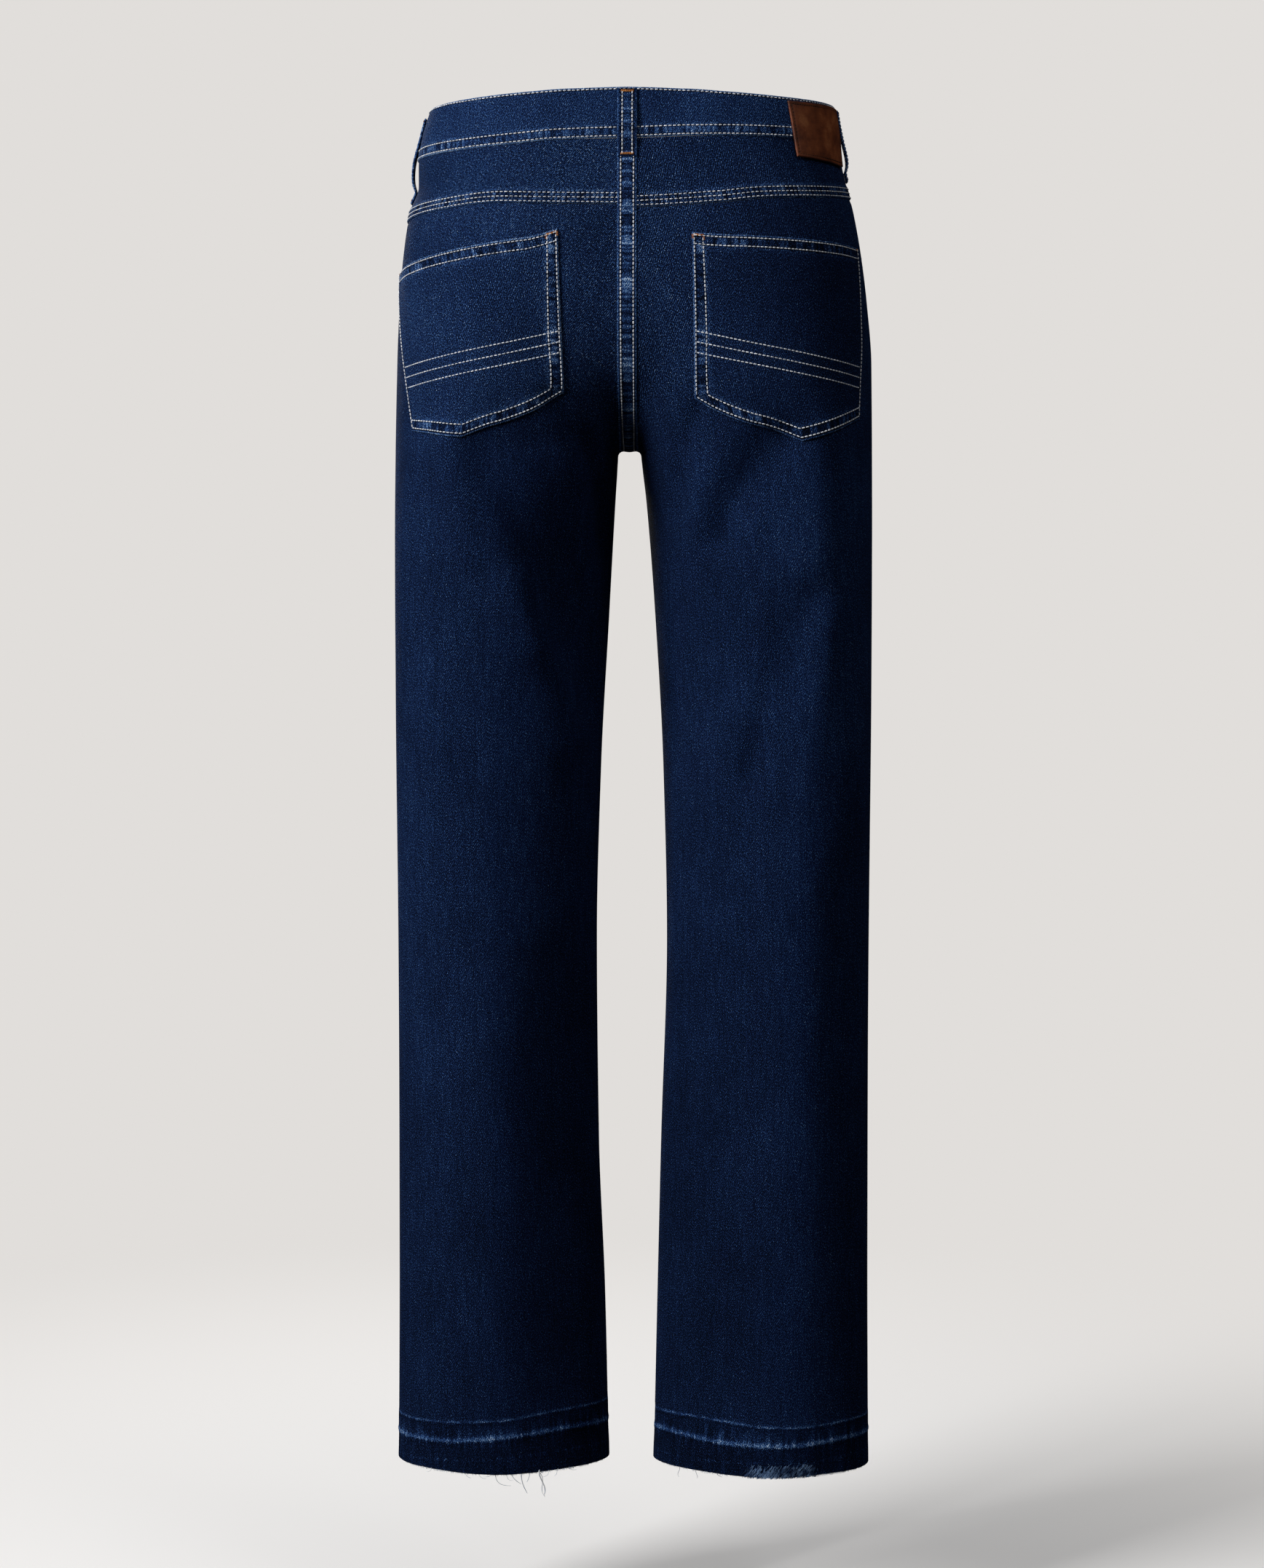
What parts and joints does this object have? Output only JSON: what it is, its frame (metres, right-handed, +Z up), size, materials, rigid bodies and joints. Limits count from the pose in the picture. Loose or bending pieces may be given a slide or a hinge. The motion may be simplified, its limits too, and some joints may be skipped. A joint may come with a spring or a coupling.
{
  "type": "straight leg jeans",
  "caption": "Straight leg denim jeans, filled out as worn, with a waistband, belt loops, back yokes, back patch pockets, a leather waistband patch and raw frayed hems.",
  "frame": {"origin": "middle of the waist, at half the waistband's height at the sides, where a wearer or a form holds the garment up", "axes": "+Z up along the legs, the front faces -Y, and the wearer's left is +X"},
  "size_m": [0.3829, 0.2317, 1.1164],
  "materials": {
    "denim": "matte",
    "leather": "satin",
    "button_metal": "satin",
    "yarn": "matte"
  },
  "bodies": {
    "root": {"back_left": "denim", "back_right": "denim", "front_left": "denim", "front_right": "denim", "yoke_left": "denim", "yoke_right": "denim", "waistband": "denim", "fly_guard": "denim", "front_pocket_facing_left": "denim", "front_pocket_facing_right": "denim", "back_pocket_left": "denim", "back_pocket_right": "denim", "belt_loop_centre": "denim", "belt_loop_side_left": "denim", "belt_loop_side_right": "denim", "belt_loop_front_left": "denim", "belt_loop_front_right": "denim", "leather_patch": "leather", "waist_button": "button_metal", "hem_fray_left": "yarn"}
  },
  "joints": []
}
